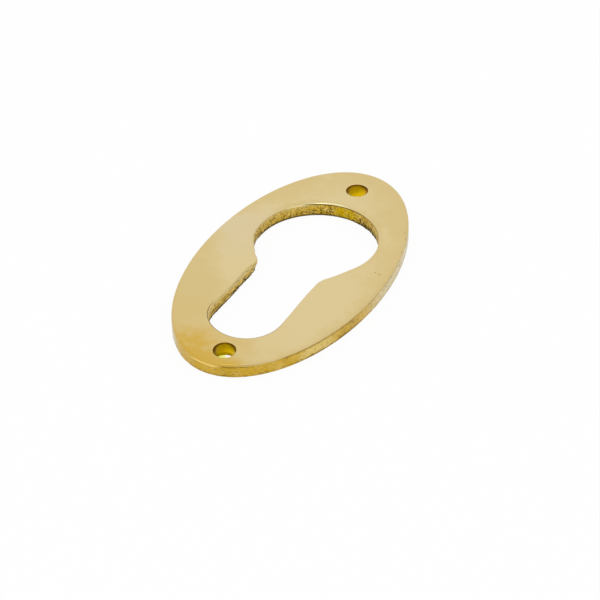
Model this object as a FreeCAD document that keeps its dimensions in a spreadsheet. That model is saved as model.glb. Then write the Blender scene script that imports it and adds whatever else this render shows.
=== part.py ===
"""Oval keyhole escutcheon for a profile lock cylinder, one flat piece of brass.

The plate lies with its back on the XY plane. The origin is the middle of the back,
+Z comes out of the polished face and +Y runs along the plate, towards the round head
of the cut-out. All lengths are in millimetres.
"""
import FreeCAD, Part

import os

import Sketcher

# Driving dimensions: name, value, what it measures
SIZES = [
    ("plate_length", 49.5, "long axis of the oval, along Y"),
    ("plate_width", 27.3, "short axis of the oval, along X"),
    ("plate_thickness", 2.1, "back to polished face"),
    ("rim_round", 0.35, "radius along the outer edge of the face"),
    ("top_margin", 8.95, "plate's upper end down to the cut-out"),
    ("bottom_margin", 6.65, "plate's lower end up to the cut-out"),
    ("head_diameter", 17.6, "round head of the cut-out, for a 17 mm cylinder"),
    ("slot_width", 10.6, "across the slot at its round lower end"),
    ("neck_width", 10.1, "between the two shoulder corners"),
    ("shoulder_reach", 0.83, "head's circle out to each shoulder corner"),
    ("neck_round", 0.4, "radius of each shoulder corner"),
    ("mouth_round", 0.2, "radius along the cut-out's edge on the face"),
    ("screw_diameter", 3.1, "drilled through, midway from cut-out to plate's end"),
]

# Places that follow from them, all measured from the plate's centre
PLACES = [
    ("head_rise", "=plate_length / 2 - top_margin - head_diameter / 2", "up to the head's centre"),
    ("slot_drop", "=plate_length / 2 - bottom_margin - slot_width / 2", "down to the end arc's centre"),
    ("neck_drop",
     "=sqrt((head_diameter / 2 + shoulder_reach)^2 - (neck_width / 2)^2) - head_rise",
     "down to the shoulder corners"),
    ("upper_screw", "=(plate_length - top_margin) / 2", "up to the upper screw hole"),
    ("lower_screw", "=(plate_length - bottom_margin) / 2", "down to the lower screw hole"),
]

NEAR = 1e-4  # millimetres within which two places count as one

ORIGIN = (-1, 1)  # a sketch's own origin, as its rules name it


def at(x, y):
    """Return a point in a sketch."""
    return FreeCAD.Vector(x, y, 0)


def start(item):
    """Return the first point of a line or an arc in a sketch."""
    return item, 1


def end(item):
    """Return the last point of a line or an arc in a sketch."""
    return item, 2


def centre(item):
    """Return the centre of a circle, an arc or an ellipse in a sketch."""
    return item, 3


def make_sheet(doc):
    """Write the dimensions and the places to a spreadsheet, one alias a row."""
    sheet = doc.addObject("Spreadsheet::Sheet", "Sizes")
    for row, (name, value, note) in enumerate(SIZES + PLACES, start=1):
        sheet.set(f"A{row}", name)
        sheet.set(f"B{row}", str(value))
        sheet.set(f"C{row}", note)
        sheet.setAlias(f"B{row}", name)
    doc.recompute()
    return sheet


def new_sketch(body, name):
    """Add a sketch on the plate's back plane."""
    sketch = body.newObject("Sketcher::SketchObject", name)
    back = [item for item in body.Origin.OriginFeatures if item.Role == "XY_Plane"][0]
    sketch.AttachmentSupport = [(back, "")]
    sketch.MapMode = "FlatFace"
    return sketch


def rule(sketch, kind, *places):
    """Add a constraint that has no size."""
    sketch.addConstraint(Sketcher.Constraint(kind, *places))


def keep_on_axis(sketch, point):
    """Keep a point on the plate's long axis, the sketch's own line number -2."""
    rule(sketch, "PointOnObject", *point, -2)


def keep_mirrored(sketch, right, left):
    """Keep two points mirror images of each other across the plate's long axis."""
    rule(sketch, "Symmetric", *right, *left, -2)


def size(sketch, name, formula, kind, *places):
    """Add a named dimension and bind it to a formula on the sheet."""
    index = sketch.addConstraint(Sketcher.Constraint(kind, *places))
    sketch.renameConstraint(index, name)
    sketch.setExpression(f"Constraints.{name}", formula)


def draw_oval(body, sheet):
    """Sketch the plate's outline: one ellipse about the origin."""
    sketch = new_sketch(body, "Oval")
    half_length = sheet.plate_length / 2
    half_width = sheet.plate_width / 2
    oval = sketch.addGeometry(Part.Ellipse(at(0, half_length), at(-half_width, 0), at(0, 0)))
    sketch.exposeInternalGeometry(oval)
    long_axis = oval + 1
    short_axis = oval + 2
    rule(sketch, "Coincident", *centre(oval), *ORIGIN)
    rule(sketch, "Vertical", long_axis)
    size(sketch, "oval_length", "Sizes.plate_length", "Distance", long_axis, sheet.plate_length)
    size(sketch, "oval_width", "Sizes.plate_width", "Distance", short_axis, sheet.plate_width)
    return sketch


def tangent_point(centre, radius, corner):
    """Return where the line from a corner on the right touches a circle, on its right side."""
    away = corner - centre
    reach = away.Length
    along = radius * radius / reach
    aside = radius * (1 - (radius / reach) ** 2) ** 0.5
    unit = away / reach
    across = FreeCAD.Vector(-unit.y, unit.x, 0)
    touches = [centre + unit * along + across * aside, centre + unit * along - across * aside]
    return max(touches, key=lambda point: point.x)


def draw_cutout(body, sheet):
    """Sketch the keyway: a round head, two shoulders that leave it on tangents, and a slot."""
    sketch = new_sketch(body, "Keyway")
    head_radius = sheet.head_diameter / 2
    end_radius = sheet.slot_width / 2
    head_centre = at(0, sheet.head_rise)
    end_centre = at(0, -sheet.slot_drop)
    corner = at(sheet.neck_width / 2, -sheet.neck_drop)
    on_head = tangent_point(head_centre, head_radius, corner)
    on_end = tangent_point(end_centre, end_radius, corner)

    def mirrored(point):
        return at(-point.x, point.y)

    head_top = head_centre + at(0, head_radius)
    end_bottom = end_centre - at(0, end_radius)
    head_arc = sketch.addGeometry(Part.Arc(on_head, head_top, mirrored(on_head)))
    right_shoulder = sketch.addGeometry(Part.LineSegment(on_head, corner))
    right_side = sketch.addGeometry(Part.LineSegment(corner, on_end))
    end_arc = sketch.addGeometry(Part.Arc(mirrored(on_end), end_bottom, on_end))
    left_side = sketch.addGeometry(Part.LineSegment(mirrored(on_end), mirrored(corner)))
    left_shoulder = sketch.addGeometry(Part.LineSegment(mirrored(corner), mirrored(on_head)))

    rule(sketch, "Tangent", *start(head_arc), *start(right_shoulder))
    rule(sketch, "Coincident", *end(right_shoulder), *start(right_side))
    rule(sketch, "Tangent", *end(right_side), *end(end_arc))
    rule(sketch, "Tangent", *start(end_arc), *start(left_side))
    rule(sketch, "Coincident", *end(left_side), *start(left_shoulder))
    rule(sketch, "Tangent", *end(left_shoulder), *end(head_arc))
    keep_on_axis(sketch, centre(head_arc))
    keep_on_axis(sketch, centre(end_arc))
    keep_mirrored(sketch, end(right_shoulder), start(left_shoulder))

    size(sketch, "head_size", "Sizes.head_diameter", "Diameter", head_arc, sheet.head_diameter)
    size(sketch, "end_size", "Sizes.slot_width", "Diameter", end_arc, sheet.slot_width)
    size(sketch, "head_place", "Sizes.head_rise", "DistanceY",
         *ORIGIN, *centre(head_arc), sheet.head_rise)
    size(sketch, "end_place", "Sizes.slot_drop", "DistanceY",
         *centre(end_arc), *ORIGIN, sheet.slot_drop)
    size(sketch, "neck_place", "Sizes.neck_drop", "DistanceY",
         *end(right_shoulder), *ORIGIN, sheet.neck_drop)
    size(sketch, "neck_size", "Sizes.neck_width", "DistanceX",
         *start(left_shoulder), *end(right_shoulder), sheet.neck_width)
    return sketch


def draw_screws(body, sheet):
    """Sketch the two screw holes on the long axis, one above the cut-out and one below."""
    sketch = new_sketch(body, "ScrewHoles")
    radius = sheet.screw_diameter / 2
    up = FreeCAD.Vector(0, 0, 1)
    upper = sketch.addGeometry(Part.Circle(at(0, sheet.upper_screw), up, radius))
    lower = sketch.addGeometry(Part.Circle(at(0, -sheet.lower_screw), up, radius))
    keep_on_axis(sketch, centre(upper))
    keep_on_axis(sketch, centre(lower))
    rule(sketch, "Equal", upper, lower)
    size(sketch, "hole_size", "Sizes.screw_diameter", "Diameter", upper, sheet.screw_diameter)
    size(sketch, "upper_place", "Sizes.upper_screw", "DistanceY",
         *ORIGIN, *centre(upper), sheet.upper_screw)
    size(sketch, "lower_place", "Sizes.lower_screw", "DistanceY",
         *centre(lower), *ORIGIN, sheet.lower_screw)
    return sketch


def cut_through(body, sketch, name):
    """Cut a sketch on the back right through the plate, towards +Z."""
    before = body.Shape.Volume
    pocket = body.newObject("PartDesign::Pocket", name)
    pocket.Profile = sketch
    pocket.Type = "ThroughAll"
    pocket.Reversed = True
    body.Document.recompute()
    if body.Shape.Volume >= before - NEAR:
        raise RuntimeError(f"{name} cuts nothing")
    return pocket


def edge_names(shape, chosen):
    """Return the names of the edges that a test picks."""
    return [f"Edge{number}" for number, edge in enumerate(shape.Edges, start=1) if chosen(edge)]


def lies_at(edge, height):
    """Tell whether a whole edge lies at one height."""
    return abs(edge.BoundBox.ZMin - height) < NEAR and abs(edge.BoundBox.ZMax - height) < NEAR


def is_neck_corner(edge, sheet):
    """Tell whether an edge is one of the two upright corners of the shoulders."""
    middle = edge.BoundBox.Center
    upright = edge.BoundBox.ZLength > NEAR and edge.BoundBox.XLength < NEAR
    on_corner = abs(abs(middle.x) - sheet.neck_width / 2) < NEAR and abs(middle.y + sheet.neck_drop) < NEAR
    return upright and on_corner


def is_rim(edge, sheet):
    """Tell whether an edge is the oval's edge on the face."""
    return lies_at(edge, sheet.plate_thickness) and isinstance(edge.Curve, Part.Ellipse)


def is_mouth(edge, sheet):
    """Tell whether an edge runs round the cut-out on the face, between the two screw holes."""
    if not lies_at(edge, sheet.plate_thickness) or isinstance(edge.Curve, Part.Ellipse):
        return False
    return not (isinstance(edge.Curve, Part.Circle) and edge.isClosed())


def round_edges(body, base, name, chosen, formula):
    """Fillet the chosen edges of a feature with a radius from the sheet."""
    names = edge_names(base.Shape, chosen)
    if not names:
        raise RuntimeError(f"{name} finds no edge")
    fillet = body.newObject("PartDesign::Fillet", name)
    fillet.Base = (base, names)
    fillet.setExpression("Radius", formula)
    body.Document.recompute()
    return fillet


def make_plate(doc, sheet):
    """Build the plate: pad the oval, cut the keyway and holes, then ease the worn edges."""
    body = doc.addObject("PartDesign::Body", "escutcheon_plate")
    body.Label = "escutcheon_plate"

    blank = body.newObject("PartDesign::Pad", "Blank")
    blank.Profile = draw_oval(body, sheet)
    blank.setExpression("Length", "Sizes.plate_thickness")
    doc.recompute()

    cut_through(body, draw_cutout(body, sheet), "KeywayCut")
    drilled = cut_through(body, draw_screws(body, sheet), "ScrewDrilling")

    corners = round_edges(body, drilled, "NeckCorners",
                          lambda edge: is_neck_corner(edge, sheet), "Sizes.neck_round")
    rim = round_edges(body, corners, "Rim", lambda edge: is_rim(edge, sheet), "Sizes.rim_round")
    round_edges(body, rim, "Mouth", lambda edge: is_mouth(edge, sheet), "Sizes.mouth_round")
    return body


def check(doc, bodies):
    """Stop if any object failed to build or a plate isn't one valid solid."""
    for item in doc.Objects:
        if "Invalid" in item.State or "Error" in item.State:
            raise RuntimeError(f"{item.Name} is {item.State}")
    for body in bodies:
        if body.Shape.isNull() or not body.Shape.isValid() or len(body.Shape.Solids) != 1:
            raise RuntimeError(f"{body.Label} is not one valid solid")


def main():
    """Build the escutcheon and write its solid."""
    doc = FreeCAD.newDocument("Escutcheon")
    sheet = make_sheet(doc)
    bodies = [make_plate(doc, sheet)]
    doc.recompute()
    check(doc, bodies)
    os.makedirs("parts", exist_ok=True)
    for body in bodies:
        body.Shape.exportStep(f"parts/{body.Label}.step")
        box = body.Shape.BoundBox
        print(f"{body.Label}: {box.XLength:.2f} x {box.YLength:.2f} x {box.ZLength:.2f} mm, "
              f"{body.Shape.Volume:.1f} mm3")


main()
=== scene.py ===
# %% [markdown]
# # An oval keyhole escutcheon in brass
#
# The real object is one flat plate that a locksmith screws round a lock cylinder. It is
# cast or sawn from brass, its face is polished, and its cut edges are left rough. The
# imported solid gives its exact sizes. Here it gets the finer shape of its edges and walls,
# its brass finishes, and a plain white studio.

# %% Load the frame
import math

import bpy
from mathutils import Matrix, Vector


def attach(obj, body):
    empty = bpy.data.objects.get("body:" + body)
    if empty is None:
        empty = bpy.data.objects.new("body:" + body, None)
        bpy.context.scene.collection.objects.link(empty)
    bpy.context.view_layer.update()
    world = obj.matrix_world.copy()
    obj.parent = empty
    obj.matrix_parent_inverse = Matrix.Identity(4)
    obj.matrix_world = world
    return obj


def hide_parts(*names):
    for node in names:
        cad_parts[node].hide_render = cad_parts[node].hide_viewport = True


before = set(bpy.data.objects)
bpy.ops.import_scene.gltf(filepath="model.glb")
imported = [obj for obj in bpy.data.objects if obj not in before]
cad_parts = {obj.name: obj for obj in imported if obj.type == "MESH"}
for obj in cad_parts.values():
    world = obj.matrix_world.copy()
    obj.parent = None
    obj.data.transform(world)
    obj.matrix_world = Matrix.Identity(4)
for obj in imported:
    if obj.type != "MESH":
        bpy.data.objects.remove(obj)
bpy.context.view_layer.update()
MM = 0.001

# %% [markdown]
# ## The camera
#
# The plate lies on a table and is seen from a little to the right of its lower end,
# from about 36 degrees up. A long lens from 400 mm away keeps the oval nearly free of
# perspective. The camera is built from three directions, to its right, up and back, which
# is easier to check than three angles. The plate stands a little left of and above the
# middle of the picture, so the camera is moved sideways instead of being turned.

# %% Place the camera
CAMERA_TURN = math.radians(27.539)
CAMERA_RISE = math.radians(36.423)
CAMERA_ROLL = math.radians(1.235)
CAMERA_DISTANCE = 400 * MM
CAMERA_ASIDE = 1.064 * MM
CAMERA_BELOW = 5.064 * MM
LENS = 171.98
FACE_HEIGHT = 2.1 * MM

back = Vector((math.sin(CAMERA_TURN) * math.cos(CAMERA_RISE),
               -math.cos(CAMERA_TURN) * math.cos(CAMERA_RISE),
               math.sin(CAMERA_RISE)))
level_right = Vector((math.cos(CAMERA_TURN), math.sin(CAMERA_TURN), 0))
level_up = back.cross(level_right)
right = level_right * math.cos(CAMERA_ROLL) - level_up * math.sin(CAMERA_ROLL)
up = level_right * math.sin(CAMERA_ROLL) + level_up * math.cos(CAMERA_ROLL)

camera_data = bpy.data.cameras.new("camera")
camera_data.lens = LENS
camera_data.sensor_width = 36
camera = bpy.data.objects.new("camera", camera_data)
bpy.context.scene.collection.objects.link(camera)
eye = (Vector((0, 0, FACE_HEIGHT)) + back * CAMERA_DISTANCE
       + right * CAMERA_ASIDE - up * CAMERA_BELOW)
camera.matrix_world = Matrix.Translation(eye) @ Matrix((right, up, back)).transposed().to_4x4()
bpy.context.scene.camera = camera
print("camera at", [round(value, 4) for value in eye])

# %% [markdown]
# ## Helpers for modelling
#
# Blender's modelling tools act on what is selected. By hand that is a click. In a script
# it is a test on each vertex, edge or face, so one helper selects by such a test and
# leaves the piece in edit mode, ready for the next tool.


# %% Select by a test
def deselect_all():
    """Leave edit mode and select nothing."""
    if bpy.context.object and bpy.context.object.mode == "EDIT":
        bpy.ops.object.mode_set(mode="OBJECT")
    bpy.ops.object.select_all(action="DESELECT")


def work_on(piece):
    """Make one piece the only selected and active one."""
    deselect_all()
    piece.select_set(True)
    bpy.context.view_layer.objects.active = piece


def pick(piece, kind, accepts):
    """Select the vertices, edges or faces that a test accepts, in edit mode."""
    mesh = piece.data
    bpy.ops.object.mode_set(mode="EDIT")
    bpy.ops.mesh.select_mode(type=kind)
    bpy.ops.mesh.select_all(action="DESELECT")
    bpy.ops.object.mode_set(mode="OBJECT")
    items = {"VERT": mesh.vertices, "EDGE": mesh.edges, "FACE": mesh.polygons}[kind]
    count = 0
    for item in items:
        if accepts(item):
            item.select = True
            count += 1
    bpy.ops.object.mode_set(mode="EDIT")
    return count


def ends(piece, edge):
    """Return the places of an edge's two ends."""
    return [piece.data.vertices[index].co for index in edge.vertices]


# %% [markdown]
# ## Rows of faces
#
# The plate is only 2 mm thick, but its walls are what gives it away as a real casting:
# they are rough and slightly uneven. A wall can only be uneven where it has vertices, so
# every outline is pulled up in several thin rows and not in one step. The top row stays
# taller than the roundings that are cut into it later.

# %% Pull an outline up in rows
OUTSIDE = 1 * MM
NEAR = 0.001 * MM


def pull_up(rows):
    """Extrude the selected face from the first height through all the others."""
    for below, above in zip(rows, rows[1:]):
        bpy.ops.mesh.extrude_region_move(
            TRANSFORM_OT_translate={"value": (0, 0, above - below)})


def even_rows(count, bottom, top):
    """Divide a wall between two heights into rows of one size."""
    return [bottom + (top - bottom) * number / count for number in range(count + 1)]


# %% [markdown]
# ## The blank
#
# The outline is an exact oval: a circle of unit radius stretched to the plate's half
# width and half length. A circle with many corners is stretched in edit mode, so the
# object itself keeps a scale of one.

# %% Make the oval blank
HALF_WIDTH = 13.65 * MM
HALF_LENGTH = 24.75 * MM
OVAL_STEPS = 400
OVAL_ROWS = 8
RIM_ROW = 0.42 * MM

deselect_all()
bpy.ops.mesh.primitive_circle_add(vertices=OVAL_STEPS, radius=1, fill_type="NGON")
plate = bpy.context.object
plate.name = "brass_plate"
plate.data.name = "brass_plate"
bpy.ops.object.mode_set(mode="EDIT")
bpy.ops.mesh.select_all(action="SELECT")
bpy.ops.transform.resize(value=(HALF_WIDTH, HALF_LENGTH, 1))
pull_up(even_rows(OVAL_ROWS, 0, FACE_HEIGHT - RIM_ROW) + [FACE_HEIGHT])
bpy.ops.mesh.select_all(action="SELECT")
bpy.ops.mesh.normals_make_consistent(inside=False)
bpy.ops.object.mode_set(mode="OBJECT")
print("blank:", len(plate.data.vertices), "vertices,",
      [round(length / MM, 2) for length in plate.dimensions], "mm")

# %% [markdown]
# ## The keyway cutter
#
# The cut-out fits a profile cylinder: a round head, two shoulders that leave the head on
# tangents, and a slot with a round end. Its outline is drawn the way one draws it by
# hand. A circle gives the head, its lower part is deleted, the two loose ends are pulled
# down to the shoulders and along the slot, and a spin closes the round end.

# %% Size the keyway
HEAD_RADIUS = 8.8 * MM
HEAD_RISE = 7.0 * MM
HEAD_STEPS = 480
SLOT_RADIUS = 5.3 * MM
SLOT_DROP = 12.8 * MM
SLOT_STEPS = 150
NECK_HALF = 5.12 * MM
NECK_DROP = 1.35 * MM


def touch_point(centre, radius, corner):
    """Return where the line from a corner on the right touches a circle's right side."""
    away = corner - centre
    along = radius * radius / away.length
    aside = radius * math.sqrt(1 - (radius / away.length) ** 2)
    unit = away.normalized()
    across = Vector((-unit.y, unit.x, 0))
    return max((centre + unit * along + across * side for side in (aside, -aside)),
               key=lambda place: place.x)


head_centre = Vector((0, HEAD_RISE, 0))
slot_centre = Vector((0, -SLOT_DROP, 0))
shoulder = Vector((NECK_HALF, -NECK_DROP, 0))
on_head = touch_point(head_centre, HEAD_RADIUS, shoulder)
on_slot = touch_point(slot_centre, SLOT_RADIUS, shoulder)
print("head is left at", [round(v / MM, 2) for v in on_head], "slot end starts at",
      [round(v / MM, 2) for v in on_slot])

# %% Draw the keyway's outline
CUTTER_FLOOR = -OUTSIDE

deselect_all()
bpy.ops.mesh.primitive_circle_add(vertices=HEAD_STEPS, radius=HEAD_RADIUS, fill_type="NOTHING",
                                  location=(0, HEAD_RISE, CUTTER_FLOOR))
keyway = bpy.context.object
keyway.name = "keyway_cutter"
bpy.ops.object.transform_apply(location=True)
pick(keyway, "VERT", lambda vertex: vertex.co.y < on_head.y)
bpy.ops.mesh.delete(type="VERT")
bpy.ops.object.mode_set(mode="OBJECT")


def pick_loose_end(piece, side):
    """Select the lowest vertex on one side of an open outline and return its place."""
    own = [vertex for vertex in piece.data.vertices if vertex.co.x * side > 0]
    lowest = min(own, key=lambda vertex: vertex.co.y)
    number, place = lowest.index, lowest.co.copy()
    pick(piece, "VERT", lambda vertex: vertex.index == number)
    return place


for side in (1, -1):
    for stop in (shoulder, on_slot):
        tip = pick_loose_end(keyway, side)
        move = (stop.x * side - tip.x, stop.y - tip.y, 0)
        bpy.ops.mesh.extrude_vertices_move(TRANSFORM_OT_translate={"value": move})
        bpy.ops.object.mode_set(mode="OBJECT")

pick_loose_end(keyway, 1)
start_angle = math.atan2(on_slot.y - slot_centre.y, on_slot.x)
bpy.ops.mesh.spin(steps=SLOT_STEPS, angle=math.pi + 2 * start_angle,
                  center=(0, -SLOT_DROP, CUTTER_FLOOR), axis=(0, 0, 1))
bpy.ops.mesh.select_all(action="SELECT")
bpy.ops.mesh.remove_doubles(threshold=NEAR)
bpy.ops.mesh.edge_face_add()
bpy.ops.object.mode_set(mode="OBJECT")
print("keyway outline:", len(keyway.data.vertices), "vertices,",
      len(keyway.data.polygons), "face,",
      [round(length / MM, 2) for length in keyway.dimensions], "mm")

# %% [markdown]
# ## Shoulders and rows of the cutter
#
# On the real plate one shoulder is nearly sharp and the other was filed rounder. A vertex
# bevel rounds them while the outline is still flat. The long straight sides are then
# divided as finely as the arcs, and the outline is pulled up through the plate's height.

# %% Round the shoulders and pull the cutter up
WALL_STEP = 0.11 * MM
LEFT_SHOULDER_ROUND = 0.35 * MM
RIGHT_SHOULDER_ROUND = 0.9 * MM
SHOULDER_SEGMENTS = 8
MOUTH_ROW = 0.26 * MM
FOOT_ROW = 0.2 * MM
WALL_ROWS = 14


def at_shoulder(side):
    """Return a test for the corner vertex of one shoulder."""
    return lambda vertex: (Vector((shoulder.x * side, shoulder.y)) - vertex.co.xy).length < NEAR


for side, radius in ((-1, LEFT_SHOULDER_ROUND), (1, RIGHT_SHOULDER_ROUND)):
    pick(keyway, "VERT", at_shoulder(side))
    bpy.ops.mesh.bevel(offset=radius, segments=SHOULDER_SEGMENTS, affect="VERTICES")
    bpy.ops.object.mode_set(mode="OBJECT")


def edge_length(piece, edge):
    """Return the length of an edge."""
    first, last = ends(piece, edge)
    return (last - first).length


lengths = sorted({round(edge_length(keyway, edge), 6) for edge in keyway.data.edges
                  if edge_length(keyway, edge) > 4 * WALL_STEP})
for length in lengths:
    pick(keyway, "EDGE", lambda edge: abs(edge_length(keyway, edge) - length) < NEAR)
    bpy.ops.mesh.subdivide(number_cuts=round(length / WALL_STEP) - 1)
    bpy.ops.object.mode_set(mode="OBJECT")

wall_rows = [0] + even_rows(WALL_ROWS, FOOT_ROW, FACE_HEIGHT - MOUTH_ROW)
bpy.ops.object.mode_set(mode="EDIT")
bpy.ops.mesh.select_all(action="SELECT")
pull_up([CUTTER_FLOOR] + wall_rows + [FACE_HEIGHT + OUTSIDE])
bpy.ops.mesh.select_all(action="SELECT")
bpy.ops.mesh.normals_make_consistent(inside=False)
bpy.ops.object.mode_set(mode="OBJECT")
print("keyway cutter:", len(keyway.data.vertices), "vertices, straight runs of",
      [round(length / MM, 2) for length in lengths], "mm")

# %% [markdown]
# ## A cut-out that sits askew
#
# The design is symmetric, but this plate was made by hand: its cut-out is turned about
# two degrees clockwise in the oval. The finished cutter is turned and moved in edit mode.
# With no window open the rotate operator turns the other way round, so the cell prints
# where the slot's end went.

# %% Turn the cutter
ASKEW_TURN = math.radians(1.9)
ASKEW_SHIFT = (0.07 * MM, -0.15 * MM, 0)


def lowest_point(piece):
    """Return the place of a piece's lowest point on the plate, in millimetres."""
    lowest = min(piece.data.vertices, key=lambda vertex: vertex.co.y).co
    return round(lowest.x / MM, 2), round(lowest.y / MM, 2)


bpy.ops.object.mode_set(mode="EDIT")
bpy.ops.mesh.select_all(action="SELECT")
bpy.ops.transform.rotate(value=ASKEW_TURN, orient_axis="Z", center_override=(0, 0, 0))
bpy.ops.transform.translate(value=ASKEW_SHIFT)
bpy.ops.object.mode_set(mode="OBJECT")
print("slot's lowest point is now at", *lowest_point(keyway), "mm")

# %% [markdown]
# ## Filed a little further
#
# The real cut-out isn't quite what its design says. At five places the file went one to
# three tenths of a millimetre too far, and on the slot's right it stopped a little short.
# The cutter's wall is pushed there with the proportional edit, which fades to nothing at
# its reach. The left shoulder leans too: only the rows near the face or near the back are
# held there, and it stands out at the face and gives way at the back.

# %% Push the wall
ALL_ROWS = (-2, 4)
LOW_ROWS = (-2, 0.3)
HIGH_ROWS = (1.7, 4)
# place on the plate, heights that are held, push and reach, all in millimetres
FILED = (
    ((2.5, -17.6), ALL_ROWS, (0.13, -0.25), 6.0),
    ((6.2, -0.1), ALL_ROWS, (0.16, -0.16), 3.0),
    ((8.8, 6.0), ALL_ROWS, (0.11, 0.0), 6.0),
    ((-8.3, 4.4), ALL_ROWS, (-0.13, 0.0), 3.0),
    ((-5.3, -4.6), ALL_ROWS, (-0.13, 0.0), 3.2),
    ((5.0, -6.6), ALL_ROWS, (-0.08, 0.0), 4.5),
    ((-5.1, -1.3), HIGH_ROWS, (0.22, 0.15), 1.6),
    ((-5.1, -1.3), LOW_ROWS, (-0.17, 0.0), 1.6),
)
GRIP = 0.4 * MM

for spot, (low, high), push, reach in FILED:
    middle = Vector(spot) * MM
    held = pick(keyway, "VERT", lambda vertex: (vertex.co.xy - middle).length < GRIP
                and low * MM < vertex.co.z < high * MM)
    bpy.ops.transform.translate(value=(push[0] * MM, push[1] * MM, 0), use_proportional_edit=True,
                                proportional_edit_falloff="SMOOTH", proportional_size=reach * MM)
    bpy.ops.object.mode_set(mode="OBJECT")
    print(held, "vertices held at", spot, "and pushed by", push, "mm")
print("slot's lowest point is now at", *lowest_point(keyway), "mm")

# %% [markdown]
# ## The screw holes
#
# Both holes are drilled straight through, about midway between the cut-out and the ends
# of the plate. A drill leaves a true round hole, so a plain cylinder is the right cutter.
# It wandered a little on this plate: the lower hole missed the long axis by the better
# part of a millimetre. Neither hole stayed quite round, so one circle is squeezed by 3 per
# cent along a slant and the other is stretched by 7.5.

# %% Make the drills
UPPER_SCREW = Vector((0.25, 20.15, 0)) * MM
LOWER_SCREW = Vector((0.76, -21.61, 0)) * MM
# place, radius and stretch
SCREWS = ((UPPER_SCREW, 1.56 * MM, 0.97), (LOWER_SCREW, 1.55 * MM, 1.075))
SLANT = math.radians(27.5)
SCREW_STEPS = 96
EDGE_ROW = 0.1 * MM

drills = []
for spot, radius, stretch in SCREWS:
    deselect_all()
    bpy.ops.mesh.primitive_circle_add(vertices=SCREW_STEPS, radius=radius, fill_type="NGON",
                                      location=(spot.x, spot.y, CUTTER_FLOOR),
                                      rotation=(0, 0, SLANT))
    drill = bpy.context.object
    drill.name = "drill"
    drill.scale.y = stretch
    bpy.ops.object.transform_apply(location=True, rotation=True, scale=True)
    bpy.ops.object.mode_set(mode="EDIT")
    bpy.ops.mesh.select_all(action="SELECT")
    pull_up([CUTTER_FLOOR, EDGE_ROW, FACE_HEIGHT / 2,
             FACE_HEIGHT - EDGE_ROW, FACE_HEIGHT + OUTSIDE])
    bpy.ops.mesh.select_all(action="SELECT")
    bpy.ops.mesh.normals_make_consistent(inside=False)
    bpy.ops.object.mode_set(mode="OBJECT")
    drills.append(drill)
print("drills:", [round(2 * radius / MM, 2) for spot, radius, stretch in SCREWS], "mm across")

# %% [markdown]
# ## Cutting the blank
#
# A boolean takes each cutter away from the blank. The exact solver keeps the cutter's
# rows of faces on the new walls, which is why the cutters were made in rows.


# %% Cut with booleans
def cut_away(piece, cutter):
    """Take a cutter away from the piece and throw the cutter away."""
    work_on(piece)
    modifier = piece.modifiers.new("cut", "BOOLEAN")
    modifier.operation = "DIFFERENCE"
    modifier.solver = "EXACT"
    modifier.object = cutter
    bpy.ops.object.modifier_apply(modifier=modifier.name)
    bpy.data.meshes.remove(cutter.data)


for cutter in [keyway] + drills:
    cut_away(plate, cutter)
print("cut plate:", len(plate.data.vertices), "vertices,", len(plate.data.polygons), "faces")

# %% [markdown]
# ## Rounded edges
#
# Polishing rounds the face's outer edge most, the cut-out's mouth less, and only breaks
# the edge of the drilled holes. The rounding is what catches the light as a thin bright
# line, so each one is a real bevel. At the back the edges were only broken with a file.
# The edges are found by their height and by how far they lie from the oval or a hole.

# %% Find and bevel the edges
RIM_ROUND = 0.35 * MM
MOUTH_ROUND = 0.2 * MM
SCREW_EDGE = 0.05 * MM
BACK_EDGE = 0.06 * MM
BACK_MOUTH = 0.08 * MM
RIM_SHARE = 0.999
ON_HOLE = 0.02 * MM
SHARP_ANGLE = math.radians(60)


def oval_share(place):
    """Return how far out a place lies: 1 on the oval, 0 in the middle."""
    return math.hypot(place.x / HALF_WIDTH, place.y / HALF_LENGTH)


def off_screw(place):
    """Return about how far a place lies from the nearer screw hole's wall."""
    gaps = []
    for spot, radius, stretch in SCREWS:
        away = Matrix.Rotation(-SLANT, 2) @ (place.xy - spot.xy)
        gaps.append(math.hypot(away.x, away.y / stretch) - radius)
    return min(gaps)


def on_rim(place):
    """Tell whether a place lies on the outer wall."""
    return oval_share(place) > RIM_SHARE


def on_drilled(place):
    """Tell whether a place lies on a drilled wall."""
    return abs(off_screw(place)) < ON_HOLE


def on_keyway(place):
    """Tell whether a place lies on the keyway's wall."""
    return not on_rim(place) and not on_drilled(place)


def at_height(height):
    """Return a test for places at one height."""
    return lambda place: abs(place.z - height) < NEAR


def bevel_ring(piece, height, belongs, width, segments):
    """Round the sharp edges at one height that belong to one wall."""
    work_on(piece)
    bpy.ops.object.mode_set(mode="EDIT")
    bpy.ops.mesh.select_mode(type="EDGE")
    bpy.ops.mesh.select_all(action="DESELECT")
    bpy.ops.mesh.edges_select_sharp(sharpness=SHARP_ANGLE)
    bpy.ops.object.mode_set(mode="OBJECT")
    level = at_height(height)
    sharp = {edge.index for edge in piece.data.edges if edge.select}
    count = pick(piece, "EDGE", lambda edge: edge.index in sharp and all(
        level(place) and belongs(place) for place in ends(piece, edge)))
    bpy.ops.mesh.bevel(offset=width, segments=segments, profile=0.5, affect="EDGES")
    bpy.ops.object.mode_set(mode="OBJECT")
    return count


counts = [
    bevel_ring(plate, FACE_HEIGHT, on_keyway, MOUTH_ROUND, 5),
    bevel_ring(plate, FACE_HEIGHT, on_drilled, SCREW_EDGE, 2),
    bevel_ring(plate, FACE_HEIGHT, on_rim, RIM_ROUND, 6),
    bevel_ring(plate, 0, on_rim, BACK_EDGE, 2),
    bevel_ring(plate, 0, on_keyway, BACK_MOUTH, 2),
]
print("bevelled edges:", counts, "now", len(plate.data.polygons), "faces")

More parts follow.
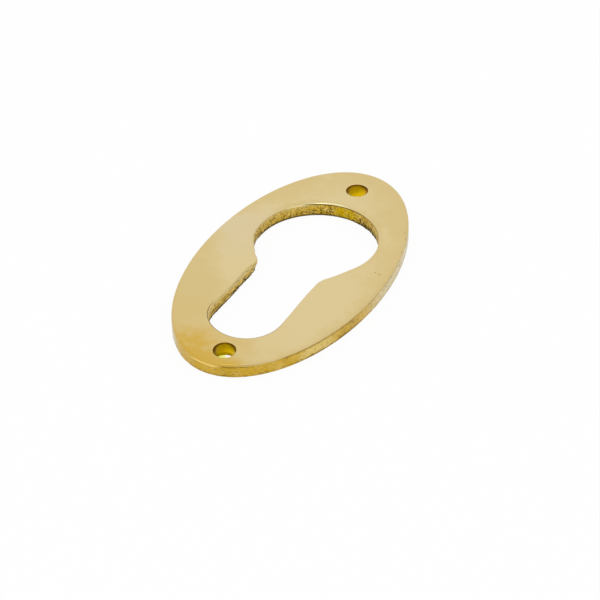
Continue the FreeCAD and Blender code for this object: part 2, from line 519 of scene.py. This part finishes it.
# %% [markdown]
# ## Rough walls
#
# The cut-out's wall shows the skin of the casting: gold grains and dark pits a few tenths
# of a millimetre wide. A sculptor would push the surface in and out. A Displace modifier
# does the same with a cloud pattern, once along X and once along Y, so that the back edge
# stays in its plane. A vertex group holds the rounded mouth still. The outer wall was
# dressed with a file, so it only waves a little.

# %% Mark what moves
KEYWAY_FADE = 0.3 * MM
OUTER_FADE = 0.25 * MM
CLEAR_OF_HOLES = 0.8 * MM
INNER_SHARE = 0.9


def fade(height, top, width):
    """Return 0 at a height and above it, rising to 1 over a width below it."""
    return max(0.0, min(1.0, (top - height) / width))


keyway_group = plate.vertex_groups.new(name="keyway_wall")
outer_group = plate.vertex_groups.new(name="outer_wall")
for vertex in plate.data.vertices:
    place = vertex.co
    if on_rim(place):
        weight = fade(place.z, FACE_HEIGHT - RIM_ROUND, OUTER_FADE)
        outer_group.add([vertex.index], weight, "REPLACE")
    elif (place.z < FACE_HEIGHT - NEAR and off_screw(place) > CLEAR_OF_HOLES
          and oval_share(place) < INNER_SHARE):
        weight = fade(place.z, FACE_HEIGHT - MOUTH_ROUND, KEYWAY_FADE)
        keyway_group.add([vertex.index], weight, "REPLACE")
print("marked", [group.name for group in plate.vertex_groups])

# %% Displace the walls
KEYWAY_ROUGHNESS = 0.22 * MM
KEYWAY_GRAIN = 0.34 * MM
OUTER_ROUGHNESS = 0.05 * MM
OUTER_GRAIN = 1.6 * MM


def displace(piece, group, axis, grain, strength, depth):
    """Push one wall in and out along an axis, by a cloud pattern of a given grain."""
    clouds = bpy.data.textures.new(f"{group}_{axis}", "CLOUDS")
    clouds.noise_scale = grain
    clouds.noise_depth = depth
    modifier = piece.modifiers.new("displace", "DISPLACE")
    modifier.texture = clouds
    modifier.texture_coords = "LOCAL"
    modifier.vertex_group = group
    modifier.direction = axis
    modifier.strength = strength
    modifier.mid_level = 0.5
    work_on(piece)
    bpy.ops.object.modifier_apply(modifier=modifier.name)


smooth_places = [vertex.co.copy() for vertex in plate.data.vertices]
smooth_normals = [vertex.normal.copy() for vertex in plate.data.vertices]
displace(plate, "keyway_wall", "X", KEYWAY_GRAIN, KEYWAY_ROUGHNESS, 3)
displace(plate, "keyway_wall", "Y", KEYWAY_GRAIN, KEYWAY_ROUGHNESS, 3)
displace(plate, "outer_wall", "X", OUTER_GRAIN, OUTER_ROUGHNESS, 1)
displace(plate, "outer_wall", "Y", OUTER_GRAIN, OUTER_ROUGHNESS, 1)
print("walls displaced,", len(plate.modifiers), "modifiers left")

# %% [markdown]
# ## Remember how deep each spot lies
#
# Dirt and old casting skin stay in the pits, while the high spots are rubbed bright. The
# depth of every vertex is kept as an attribute on the mesh, which the finish reads later.

# %% Store the depth
carved = plate.data.attributes.new("carved", "FLOAT", "POINT")
depths = []
for vertex, place, normal in zip(plate.data.vertices, smooth_places, smooth_normals):
    depth = (vertex.co - place).dot(normal) / MM
    carved.data[vertex.index].value = depth
    depths.append(depth)
print("wall roughness from", round(min(depths), 3), "to", round(max(depths), 3), "mm")

# %% [markdown]
# ## Smooth shading
#
# Smooth shading hides the facets of the roundings, but on its own it would bend the
# reflections of the large flat face towards its edges. A Weighted Normal modifier lets
# the largest face decide at each shared vertex, so the face stays optically flat.

# %% Shade the plate
SMOOTH_ANGLE = math.radians(50)

work_on(plate)
bpy.ops.object.shade_smooth_by_angle(angle=SMOOTH_ANGLE)
weighted = plate.modifiers.new("weighted", "WEIGHTED_NORMAL")
weighted.keep_sharp = True
bpy.ops.object.modifier_apply(modifier=weighted.name)
print("plate:", sum(len(face.vertices) - 2 for face in plate.data.polygons), "triangles")

# %% [markdown]
# ## A short way to write shaders
#
# A finish is a small formula: so much dark in the pits, so much gold at the edge. One
# class wraps an output socket, so that plus and times on it add the Math nodes, and a
# second one makes any other node.


# %% Wrap sockets in Python
class Wire:
    """A value that changes over the surface. Arithmetic on it adds Math nodes."""

    def __init__(self, finish, socket):
        self.finish = finish
        self.socket = socket

    def _math(self, operation, first, second):
        return self.finish.node("ShaderNodeMath", {"operation": operation}, {0: first, 1: second})

    def __add__(self, other):
        return self._math("ADD", self, other)

    def __sub__(self, other):
        return self._math("SUBTRACT", self, other)

    def __rsub__(self, other):
        return self._math("SUBTRACT", other, self)

    def __mul__(self, other):
        return self._math("MULTIPLY", self, other)

    def __truediv__(self, other):
        return self._math("DIVIDE", self, other)

    def __pow__(self, other):
        return self._math("POWER", self, other)

    __radd__ = __add__
    __rmul__ = __mul__


class Finish:
    """The nodes of one material, or of the world."""

    def __init__(self, owner):
        owner.use_nodes = True
        self.owner = owner
        self.tree = owner.node_tree
        self.tree.nodes.clear()

    def node(self, kind, settings=None, sockets=None, output=0):
        """Add a node: its settings first, then its sockets, and return one output."""
        node = self.tree.nodes.new(kind)
        for name, value in (settings or {}).items():
            setattr(node, name, value)
        for name, value in (sockets or {}).items():
            if isinstance(value, Wire):
                self.tree.links.new(value.socket, node.inputs[name])
            else:
                node.inputs[name].default_value = value
        return Wire(self, node.outputs[output]) if node.outputs else None


# %% [markdown]
# ## Patterns and colours
#
# Every pattern reads the Object coordinates, turned into millimetres, so its scale can be
# compared with the real thing. Colours are written as they look on the screen and
# converted to the linear light that the shader works in.


# %% Define patterns
def screen_colour(red, green, blue):
    """Turn a colour on the screen, 0 to 255, into linear light."""
    linear = []
    for value in (red, green, blue):
        share = value / 255
        linear.append(share / 12.92 if share <= 0.04045 else ((share + 0.055) / 1.055) ** 2.4)
    return (*linear, 1.0)


def millimetres(finish, scale=(1, 1, 1), turn=0):
    """Return the place on the piece in millimetres, stretched and turned if asked."""
    place = finish.node("ShaderNodeTexCoord", output="Object")
    return finish.node("ShaderNodeMapping", None, {
        "Vector": place,
        "Rotation": (0, 0, turn),
        "Scale": tuple(value / MM for value in scale)})


def cloudy(finish, place, size, detail=2.0, roughness=0.5):
    """Return soft noise with patches of a size in millimetres."""
    return finish.node("ShaderNodeTexNoise", None, {
        "Vector": place, "Scale": 1 / size, "Detail": detail, "Roughness": roughness})


def step(finish, value, low, high, to_low=0.0, to_high=1.0):
    """Return a soft step as a value goes from low to high."""
    return finish.node("ShaderNodeMapRange", {"interpolation_type": "SMOOTHSTEP"}, {
        "Value": value, "From Min": low, "From Max": high, "To Min": to_low, "To Max": to_high})


def blend(finish, share, first, second):
    """Mix two colours by a share."""
    return finish.node("ShaderNodeMix", {"data_type": "RGBA"}, {
        "Factor": share, 6: first, 7: second}, output=2)


def axes(finish, place):
    """Split a place into its x, y and z."""
    split = finish.node("ShaderNodeSeparateXYZ", None, {"Vector": place})
    outputs = split.socket.node.outputs
    return [Wire(finish, outputs[index]) for index in range(3)]


def near(finish, place, spot, inner, outer, at_spot=1.0, beyond=0.0):
    """Return one value within a distance of a spot, changing to another further out."""
    gap = finish.node("ShaderNodeVectorMath", {"operation": "DISTANCE"}, {0: place, 1: spot},
                      output="Value")
    return step(finish, gap, inner, outer, at_spot, beyond)


def brass(finish, colour, roughness, height, depth):
    """Finish a material as bare metal, with a bump of a depth in millimetres."""
    bump = finish.node("ShaderNodeBump", None, {
        "Strength": 1.0, "Distance": depth * MM, "Height": height})
    metal = finish.node("ShaderNodeBsdfPrincipled", None, {
        "Metallic": 1.0, "Base Color": colour, "Roughness": roughness, "Normal": bump})
    finish.node("ShaderNodeOutputMaterial", None, {"Surface": metal})
    return finish.owner


# %% [markdown]
# ## The polished face
#
# The face is polished brass that has lost its mirror: a pale champagne gold, a little
# greyer on the left, with soft clouds of a warmer gold that are strongest at the lower end
# left of the hole. A narrow band round the cut-out's head is warmer too. Fine grain is left
# from polishing, and a few specks from the casting.

# %% Mix the polished face
CHAMPAGNE = screen_colour(223, 203, 151)
ASH = screen_colour(220, 202, 162)
HONEY = screen_colour(217, 194, 135)
WARM_GOLD = screen_colour(212, 175, 78)
SPECK_BROWN = screen_colour(150, 120, 60)
SPECKS = ((11.35, 3.1, 2.1), (12.05, 2.9, 2.1), (11.0, 13.5, 2.1))
RIM_SPECKS = ((11.7, 12.3, 2.04), (12.6, 9.15, 2.04))
ASH_SPOT = (-11.4, 4.6, 2.1)
HONEY_SPOT = (-9.0, -11.5, 2.1)
WARM_END = (-4.4, -22.5, 2.1)
WARM_EDGE = (0.3, -24.7, 2.1)
HEAD_MIDDLE = (0.3, 6.9, 2.1)


def face_colour(finish, place):
    """Return the cloudy colour of the polished face, warmer at the lower end."""
    x, y, z = axes(finish, place)
    outward = ((x / (HALF_WIDTH / MM)) ** 2 + (y / (HALF_LENGTH / MM)) ** 2) ** 0.5
    clouds = cloudy(finish, place, 5.0, 3.0)
    mottle = cloudy(finish, place, 1.1, 3.0)
    lower_right = step(finish, x, 0, 9) * step(finish, y, -6, 4, 1.0, 0.0)
    honeyed = outward * 0.8 - lower_right * 0.16 + near(finish, place, HONEY_SPOT, 2.0, 9.0) * 0.25
    honey = step(finish, honeyed + clouds * 0.5 + mottle * 0.2, 0.8, 1.2)
    honey = honey + near(finish, place, HEAD_MIDDLE, 9.2, 9.9) * 0.4
    ashy = near(finish, place, ASH_SPOT, 0.0, 10.0) * step(finish, clouds, 0.25, 0.7, 1.0, 0.65)
    colour = blend(finish, ashy, CHAMPAGNE, ASH)
    colour = blend(finish, step(finish, honey - ashy * 0.9, 0, 1), colour, HONEY)
    patch = near(finish, place, WARM_END, 0.3, 5.8) * (0.35 + step(finish, mottle, 0.3, 0.7) * 0.45)
    haze = near(finish, place, WARM_END, 2.0, 18.0) * (0.2 + step(finish, clouds, 0.3, 0.7) * 0.22)
    edge = step(finish, outward + mottle * 0.06, 0.93, 1.01)
    edge = edge * near(finish, place, WARM_EDGE, 2.5, 5.5)
    return blend(finish, step(finish, patch + haze + edge * 0.7, -0.1, 1.1), colour, WARM_GOLD)


def speckled(finish, place, colour, specks):
    """Return the colour with a few small brown specks."""
    for spot in specks:
        colour = blend(finish, near(finish, place, spot, 0.06, 0.16) * 0.8, colour, SPECK_BROWN)
    return colour


face = Finish(bpy.data.materials.new("polished_face"))
place = millimetres(face)
colour = speckled(face, place, face_colour(face, place), SPECKS)
lines = cloudy(face, millimetres(face, (1, 5, 1), math.radians(25)), 1.3, 3.0)
grain = cloudy(face, place, 0.37, 2.0)
roughness = step(face, lines + grain * 0.4, 0.4, 1.0, 0.27, 0.36)
polished_face = brass(face, colour, roughness, lines + grain * 0.3, 0.0005)
print("mixed", polished_face.name, "with", len(face.tree.nodes), "nodes")

# %% [markdown]
# ## The rolled rim and the burnished lip, with a painted highlight and painted dark lines
#
# The polishing wheel rolled over the outer edge and left it satin. On the right a thin
# dark line is painted below it, a painted reflection of the darker studio behind the
# camera. It is fainter further up, nearly breaks off once near the lower end, and fades
# out there. The lip of the cut-out is burnished, and a cream highlight is painted on it,
# brightest behind the round head, with such a painted dark line below it and to the right.
# To the left of that and at the slot's end the painted line runs along the lip's top.

# %% Mix the rim and the lip
RIM_DARK_REFLECTION = screen_colour(160, 126, 44)
LIP_HIGHLIGHT_CREAM = screen_colour(252, 242, 186)
LIP_DARK_REFLECTION = screen_colour(128, 102, 44)
LOW_LINE = (3.4, -24.0, 1.7)
FAR_FOOT = (12.0, -12.0, 0.3)
FAINT_LINE = (6.9, -21.4, 1.8)
BEHIND_HEAD = (-0.8, 15.8, 1.9)
RIGHT_OF_HEAD = (6.2, 13.4, 1.9)
LEFT_OF_HEAD = (-5.9, 13.5, 1.9)
LEFT_LOWER = (-7.9, 10.1, 1.9)
BURNISH_AND_HIGHLIGHT_SPOT = (-2.5, 15.2, 2.1)
TOP_LINE_SPOT = (-4.1, 14.5, 2.1)

rim = Finish(bpy.data.materials.new("rolled_rim"))
place = millimetres(rim)
x, y, z = axes(rim, place)
wander = cloudy(rim, place, 1.3, 2.0)
# below is a painted dark reflection line under the rolled rim; it wanders in height, drops near the
# lower end and fades out.
line_height = z + wander * 0.14 + near(rim, place, LOW_LINE, 1.8, 3.4) * 0.26
faded = step(rim, x, 0.5, 2.5) * step(rim, y, -14, -5, 1.0, 0.55)
faded = faded * near(rim, place, FAINT_LINE, 1.2, 3.4, 0.15, 1.0)
below = step(rim, line_height, 1.84, 2.0, 0.8, 0.0) * faded
colour = speckled(rim, place, face_colour(rim, place), RIM_SPECKS)
colour = blend(rim, below, colour, RIM_DARK_REFLECTION)
rolled_rim = brass(rim, colour, step(rim, wander, 0.3, 0.7, 0.4, 0.5), wander, 0.002)

lip = Finish(bpy.data.materials.new("lip_burnish_and_painted_light"))
place = millimetres(lip)
x, y, z = axes(lip, place)
# The lip's smoother burnished spot behind the head, where its cream highlight is painted; a second
# painted highlight runs lower on the lip left of the head.
burnish_and_highlight = near(lip, place, BURNISH_AND_HIGHLIGHT_SPOT, 2.1, 3.9)
upper = step(lip, z, 1.97, 2.03)
# behind marks the painted dark reflection line under the lip's highlight, behind and to the right
# of the head.
behind = near(lip, place, BEHIND_HEAD, 3.8, 5.4) * 0.85
behind = behind + near(lip, place, RIGHT_OF_HEAD, 2.0, 3.6) * 0.55
painted_cream = burnish_and_highlight * upper + near(lip, place, LEFT_OF_HEAD, 1.0, 2.6) * (1 - upper) * 0.8
colour = blend(lip, painted_cream, face_colour(lip, place), LIP_HIGHLIGHT_CREAM)
# along_top carries the same painted dark reflection line along the lip's top, left of the head and
# at the slot's end.
along_top = near(lip, place, TOP_LINE_SPOT, 0.6, 3.5) * 0.4
along_top = along_top + step(lip, y, -15.5, -10.5, 0.8, 0.0)
line = behind * (1 - upper) + along_top * step(lip, z, 2.03, 2.07)
colour = blend(lip, step(lip, line, 0, 1), colour, LIP_DARK_REFLECTION)
roughness = step(lip, burnish_and_highlight, 0, 1, 0.34, 0.16)
lip_burnish_and_painted_light = brass(lip, colour, roughness, cloudy(lip, place, 0.6), 0.002)
print("mixed", rolled_rim.name, "and", lip_burnish_and_painted_light.name)

# %% [markdown]
# ## The outer wall
# The wall round the oval is a deeper, yellower gold than the face. A file left it
# mottled, with short olive streaks, and its lower edge is painted darker, as painted shade
# where it stands on the table. On the right a painted dark reflection line carries on
# below the rim. Further up on the right the wall runs over into the pale colour of the
# face. On the left of the lower end a pale greenish highlight is painted, and in the
# middle of that end a short painted highlight glints.

# %% Mix the outer wall
WALL_GOLD = screen_colour(206, 167, 53)
WALL_PALE = screen_colour(224, 198, 118)
WALL_CREAM = screen_colour(218, 202, 152)
WALL_OLIVE_AND_SHADE = screen_colour(138, 108, 32)
WALL_GREEN_SHEEN = screen_colour(214, 206, 172)
WALL_BRIGHT = screen_colour(246, 210, 122)
GREEN_SHEEN_SPOT = (-8.6, -19.8, 1.0)
GLINT_SPOT = (-0.7, -24.7, 1.55)
BROWN_SPOT = (2.4, -24.6, 0.8)
PALE_SPOT = (10.9, -14.6, 1.0)
DULL_SPOT = (12.9, -8.3, 1.0)

outer = Finish(bpy.data.materials.new("outer_wall"))
place = millimetres(outer)
x, y, z = axes(outer, place)
patches = cloudy(outer, place, 1.9, 4.0, 0.6)
strokes = cloudy(outer, millimetres(outer, (1, 1, 3)), 0.6, 4.0, 0.65)
pale = step(outer, patches * 0.6 + strokes * 0.4, 0.35, 0.65) * 0.6
pale = pale + near(outer, place, PALE_SPOT, 0.8, 4.5) * 0.6
colour = blend(outer, step(outer, pale, 0, 1), WALL_GOLD, WALL_PALE)
upper_right = step(outer, y + patches * 4, -5, 4) * step(outer, x, 2, 6)
colour = blend(outer, upper_right, colour, WALL_CREAM)
# A painted pale greenish highlight on the left of the lower end.
colour = blend(outer, near(outer, place, GREEN_SHEEN_SPOT, 1.4, 3.6) * 0.8, colour, WALL_GREEN_SHEEN)
# A painted dark reflection line below the rim on the right, fainter further up and near the lower
# end.
painted_wall_line = step(outer, z, 1.45, 1.65) * step(outer, x, 0.5, 2.5)
painted_wall_line = painted_wall_line * step(outer, y, -14, -5, 1.0, 0.55)
painted_wall_line = painted_wall_line * near(outer, place, FAINT_LINE, 1.2, 3.4, 0.2, 1.0)
# Painted shade along the wall's foot, where it stands on the table, strongest at the far right.
painted_foot_shade = step(outer, z + patches * 0.6, 0.4, 0.85, 1.0, 0.0)
painted_foot_shade = painted_foot_shade * near(outer, place, FAR_FOOT, 3.0, 8.0, 1.0, 0.45)
streaks = step(outer, strokes, 0.44, 0.66) * 0.6
spots = near(outer, place, BROWN_SPOT, 0.6, 2.6) * 0.2
spots = spots + near(outer, place, DULL_SPOT, 1.0, 3.2) * 0.2
# The real olive streaks and brown spots are mixed here with the painted dark line and the painted
# shade at the foot.
dirt_and_painted_shade = step(outer, painted_wall_line * 0.5 + painted_foot_shade * 0.7 + streaks + spots, 0, 1.1)
colour = blend(outer, dirt_and_painted_shade, colour, WALL_OLIVE_AND_SHADE)
# A painted highlight: a short bright glint in the middle of the lower end.
glint = step(outer, z, 1.38, 1.5) * step(outer, z, 1.62, 1.74, 1.0, 0.0)
glint = glint * near(outer, place, GLINT_SPOT, 1.3, 2.7)
colour = blend(outer, glint, colour, WALL_BRIGHT)
roughness = step(outer, patches, 0.3, 0.7, 0.3, 0.45)
outer_wall = brass(outer, colour, roughness, patches + strokes * 0.6, 0.03)
print("mixed", outer_wall.name, "with", len(outer.tree.nodes), "nodes")

# %% [markdown]
# ## The keyway wall
#
# The cut-out's wall was never polished. Its high grains are bright gold, and the pits
# hold dark brown skin. The mask for the pits is the depth that was kept on the mesh, so
# the dark spots sit exactly in the real hollows. The side that faces right was filed
# paler along its upper half. One patch behind the round head is painted a strong yellow,
# as painted light bounced between the brass walls. The wall is painted darker towards its
# foot as painted shade, a painted dark reflection line runs under parts of the lip, and a
# painted cream highlight runs along its top left of the head.

# %% Mix the keyway wall
GRAIN_GOLD = screen_colour(234, 202, 102)
GRAIN_DEEP = screen_colour(202, 165, 48)
PIT_BROWN_AND_SHADE = screen_colour(84, 64, 16)
BOUNCED_YELLOW = screen_colour(212, 178, 0)
FILED_PALE = screen_colour(222, 202, 142)
BOUNCED_YELLOW_SPOT = (0.7, 15.8, 0.6)
DARK_FOOT = (5.1, 14.2, 0.2)

wall = Finish(bpy.data.materials.new("keyway_wall"))
place = millimetres(wall)
x, y, z = axes(wall, place)
carved_depth = wall.node("ShaderNodeAttribute", {"attribute_name": "carved"}, output="Fac")
in_slot = step(wall, y, -1, 3, 1.0, 0.0)
patches = cloudy(wall, place, 0.8, 4.0, 0.6)
drawn = cloudy(wall, millimetres(wall, (1, 0.3, 2)), 0.5, 3.0, 0.6)
grit = cloudy(wall, place, 0.24, 3.0, 0.65)
grit = grit + in_slot * (drawn - grit) * 0.75
colour = blend(wall, step(wall, patches, 0.35, 0.65), GRAIN_GOLD, GRAIN_DEEP)
# A painted patch of strong yellow light, bounced between the brass walls, behind the round head.
painted_bounce = near(wall, place, BOUNCED_YELLOW_SPOT, 1.0, 2.6) * step(wall, patches, 0.3, 0.55, 0.5, 1.0)
colour = blend(wall, painted_bounce * 0.9, colour, BOUNCED_YELLOW)
facing_right = step(wall, x, -5.4, -4.4, 1.0, 0.0)
filed_height = z + patches * 0.6 + step(wall, y, -10, -5) * 0.45 - step(wall, y, 3, 6) * 0.4
filed = facing_right * (in_slot * 0.55 + 0.45) * step(wall, filed_height, 1.4, 2.1)
colour = blend(wall, filed * 0.85, colour, FILED_PALE)
pits = step(wall, carved_depth + grit * 0.08, -0.02, 0.05, 0.45, 0.0)
speckle = step(wall, grit, 0.48, 0.57) * (0.73 - filed * 0.43 - painted_bounce * 0.35)
# Painted shade: the wall darkens towards the bottom, most near one spot right of the head.
lower = step(wall, z, 0.2, 1.2, 0.3, 0.0)
lower = lower + near(wall, place, DARK_FOOT, 1.7, 3.2) * step(wall, z, 0.6, 1.1, 0.35, 0.0)
# Painted shade along the wall's foot, where it stands on the table.
painted_foot_shade = step(wall, z + grit * 0.6, 0.42, 0.7, 0.55, 0.0)
# A painted dark reflection line just under the lip, behind, right and lower left of the head.
painted_line_under_lip = near(wall, place, BEHIND_HEAD, 3.8, 5.4) * 0.8
painted_line_under_lip = painted_line_under_lip + near(wall, place, RIGHT_OF_HEAD, 2.0, 3.6) * 0.45
painted_line_under_lip = painted_line_under_lip + near(wall, place, LEFT_LOWER, 1.2, 2.8) * 0.35
painted_line_under_lip = painted_line_under_lip * step(wall, z, 1.8, 1.87)
# A painted cream highlight along the wall's top, left of the head.
highlight = step(wall, z, 1.75, 1.86) * near(wall, place, LEFT_OF_HEAD, 1.2, 3.0) * 0.7
# The real pits and grit are mixed here with painted shade low on the wall and a painted dark line
# under the lip.
dirt_and_painted_shade = step(wall, pits + speckle + lower + painted_foot_shade + painted_line_under_lip, 0, 1.2)
colour = blend(wall, dirt_and_painted_shade, colour, PIT_BROWN_AND_SHADE)
colour = blend(wall, highlight, colour, LIP_HIGHLIGHT_CREAM)
roughness = step(wall, carved_depth, -0.03, 0.05, 0.6, 0.42)
keyway_wall = brass(wall, colour, roughness, grit + patches, 0.03)
print("mixed", keyway_wall.name, "with", len(wall.tree.nodes), "nodes")

# %% [markdown]
# ## The drilled holes and the back
#
# A drill leaves clean metal with fine rings. Light bounces several times inside the small
# hole, and that light is painted into its colour: a deep, saturated yellow on the lit side
# and olive on the other, with painted shade in brown towards the sides, under the face and
# at the foot of the lower hole, over a few real stains. The back is dull: it was only
# rubbed flat on a belt, whose straight scratches are the pattern here.

# %% Mix the drilled walls and the back
DRILLED_SHADED_OLIVE = screen_colour(178, 144, 4)
DRILLED_LIT_YELLOW = screen_colour(226, 185, 6)
DRILLED_STAIN_AND_SHADE = screen_colour(134, 100, 4)
SIDEWAYS = (0.887, 0.462, 0)
HOLE_HALF = 1.5

drilled = Finish(bpy.data.materials.new("drilled_wall"))
place = millimetres(drilled)
x, y, z = axes(drilled, place)
rings = cloudy(drilled, millimetres(drilled, (0.3, 0.3, 14)), 1.0, 2.0)
blotches = cloudy(drilled, place, 0.6, 2.0)
sideways = drilled.node("ShaderNodeVectorMath", {"operation": "DOT_PRODUCT"},
                        {0: place, 1: SIDEWAYS}, output="Value")
upper_share = (sideways - UPPER_SCREW.dot(Vector(SIDEWAYS)) / MM) / HOLE_HALF
lower_share = (sideways - LOWER_SCREW.dot(Vector(SIDEWAYS)) / MM) / HOLE_HALF
share = upper_share * step(drilled, y, 0, 1) + lower_share * step(drilled, y, 0, 1, 1.0, 0.0)
# Painted light: each hole is painted lit yellow on its right and olive on its left.
painted_lit_side = step(drilled, z * -1 + share * 0.9 + blotches * 0.8, -1.1, 0.4)
colour = blend(drilled, painted_lit_side, DRILLED_SHADED_OLIVE, DRILLED_LIT_YELLOW)
# Painted shade towards the sides, under the face and at the foot of the lower hole; the blotches
# are real stains.
painted_shade_sides = step(drilled, share * share - share * 0.15 + blotches * 0.3, 0.72, 1.1)
painted_shade_under_face = step(drilled, z + rings * 0.3 + share * share * 0.2, 1.85, 2.15)
painted_shade_at_back = step(drilled, z + blotches * 0.5, 0.5, 1.0, 0.6, 0.0) * step(drilled, y, 0, 1, 1.0, 0.0)
stained = step(drilled, blotches, 0.42, 0.7) * 0.4
stains_and_painted_shade = step(drilled, painted_shade_sides + painted_shade_under_face + painted_shade_at_back + stained, 0, 1.1)
colour = blend(drilled, stains_and_painted_shade, colour, DRILLED_STAIN_AND_SHADE)
drilled_wall = brass(drilled, colour, step(drilled, rings, 0.3, 0.7, 0.24, 0.36), rings, 0.01)

BACK_GOLD = screen_colour(196, 168, 98)
BACK_DULL = screen_colour(160, 132, 70)

rubbed = Finish(bpy.data.materials.new("rubbed_back"))
place = millimetres(rubbed)
patches = cloudy(rubbed, place, 4.0, 3.0)
scratches = cloudy(rubbed, millimetres(rubbed, (14, 0.5, 1), math.radians(8)), 1.0, 3.0)
colour = blend(rubbed, step(rubbed, patches + scratches * 0.5, 0.45, 1.0), BACK_GOLD, BACK_DULL)
roughness = step(rubbed, scratches, 0.3, 0.7, 0.38, 0.55)
rubbed_back = brass(rubbed, colour, roughness, scratches, 0.008)
print("mixed", drilled_wall.name, "and", rubbed_back.name)

# %% [markdown]
# ## Giving each face its finish
#
# The finishes become material slots. Each face of the mesh then takes the slot of the
# surface that it lies on: the flat face, a rounding, a wall, a hole or the back.

# %% Assign the finishes
FINISHES = [polished_face, rolled_rim, lip_burnish_and_painted_light, outer_wall,
            keyway_wall, drilled_wall, rubbed_back]
DOWNWARD = -0.9
HOLE_REACH = 0.3 * MM
WALL_SHARE = 0.95

plate.data.materials.clear()
for material in FINISHES:
    plate.data.materials.append(material)


def finish_of(face):
    """Return the finish for one face of the mesh."""
    if face.normal.z < DOWNWARD:
        return rubbed_back
    if face.center.z > FACE_HEIGHT - NEAR:
        return polished_face
    if off_screw(face.center) < HOLE_REACH:
        return drilled_wall
    if oval_share(face.center) > WALL_SHARE:
        return rolled_rim if face.center.z > FACE_HEIGHT - RIM_ROUND else outer_wall
    return lip_burnish_and_painted_light if face.center.z > FACE_HEIGHT - MOUTH_ROUND else keyway_wall


tally = [0] * len(FINISHES)
for polygon in plate.data.polygons:
    polygon.material_index = FINISHES.index(finish_of(polygon))
    tally[polygon.material_index] += 1
print({material.name: count for material, count in zip(FINISHES, tally)})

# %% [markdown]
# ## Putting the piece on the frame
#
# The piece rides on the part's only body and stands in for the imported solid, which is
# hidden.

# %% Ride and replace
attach(plate, "root")
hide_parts("escutcheon_plate")
print(plate.name, "rides on root and stands in for escutcheon_plate")

# %% [markdown]
# ## The studio
#
# The photograph has a pure white table and even, soft light. The floor is a large white
# sheet. To the camera and in reflections it is nearly all plain white, and a small share
# of it is an ordinary lit surface, which keeps the plate's soft shadow. Under the lower
# hole a spot of yellow light, as the brass throws it down, is painted on it. The world is
# an even white tent, a little darker behind the camera, as every studio is.

# %% Lay the floor
FLOOR_SIZE = 6.0
FLOOR_HEIGHT = -0.03 * MM
FLOOR_GLOW = 0.94

deselect_all()
bpy.ops.mesh.primitive_plane_add(size=FLOOR_SIZE, location=(0, 0, FLOOR_HEIGHT))
floor = bpy.context.object
floor.name = "floor"
bpy.ops.object.transform_apply(location=True)
paper = Finish(bpy.data.materials.new("white_paper"))


def seen_directly(finish):
    """Return 1 for rays from the camera and for mirror and glass rays."""
    path = finish.node("ShaderNodeLightPath", output="Is Camera Ray").socket.node.outputs
    rays = [Wire(finish, path[name])
            for name in ("Is Camera Ray", "Is Glossy Ray", "Is Transmission Ray")]
    return finish.node("ShaderNodeMath", {"operation": "ADD", "use_clamp": True},
                       {0: rays[0] + rays[1], 1: rays[2]})


# A painted spot of yellow light on the floor under the lower hole, as the brass throws it down.
PAINTED_LIGHT_SPOT = (-0.45, -20.6, -0.03)
PAINTED_LIGHT_YELLOW = screen_colour(232, 238, 84)
WHITE = (1, 1, 1, 1)
PAPER_WHITE = (0.9, 0.9, 0.9, 1)

painted_light_under_hole = near(paper, millimetres(paper), PAINTED_LIGHT_SPOT, 0.4, 1.0)
tint = blend(paper, painted_light_under_hole * 0.9, WHITE, PAINTED_LIGHT_YELLOW)
lit = paper.node("ShaderNodeBsdfDiffuse", None, {"Color": PAPER_WHITE})
glow = paper.node("ShaderNodeEmission", None, {"Color": tint, "Strength": 1.0})
share = seen_directly(paper) * FLOOR_GLOW
mixed = paper.node("ShaderNodeMixShader", None, {0: share, 1: lit, 2: glow})
paper.node("ShaderNodeOutputMaterial", None, {"Surface": mixed})
floor.data.materials.append(paper.owner)
print("floor:", [round(length, 2) for length in floor.dimensions], "m")

# %% Light the studio
TENT_LEVEL = 0.98
DARK_SIDE = (0.42, -0.80, 0.43)
DARK_GREY = (0.1, 0.1, 0.1, 1)

world = bpy.data.worlds.new("studio")
bpy.context.scene.world = world
tent = Finish(world)
direction = tent.node("ShaderNodeTexCoord", output="Generated")
towards_dark = tent.node("ShaderNodeVectorMath", {"operation": "DOT_PRODUCT"},
                         {0: direction, 1: DARK_SIDE}, output="Value")
grey = blend(tent, step(tent, towards_dark, 0.80, 0.98) * 0.5, WHITE, DARK_GREY)
sky = tent.node("ShaderNodeBackground", None, {"Color": grey, "Strength": TENT_LEVEL})
white = tent.node("ShaderNodeBackground", None, {"Color": WHITE, "Strength": 1.0})
camera_ray = tent.node("ShaderNodeLightPath", output="Is Camera Ray")
both = tent.node("ShaderNodeMixShader", None, {0: camera_ray, 1: sky, 2: white})
tent.node("ShaderNodeOutputWorld", None, {"Surface": both})


def add_softbox(name, place, size, power):
    """Hang a square softbox that faces the plate."""
    data = bpy.data.lights.new(name, "AREA")
    data.size = size
    data.energy = power
    lamp = bpy.data.objects.new(name, data)
    bpy.context.scene.collection.objects.link(lamp)
    lamp.location = place
    lamp.rotation_euler = Vector(place).to_track_quat("Z", "Y").to_euler()
    print(name, "of", power, "W hangs at", place)


add_softbox("front_softbox", (0.10, -0.40, 0.56), 0.22, 0.35)
bpy.context.scene.view_settings.view_transform = "Standard"
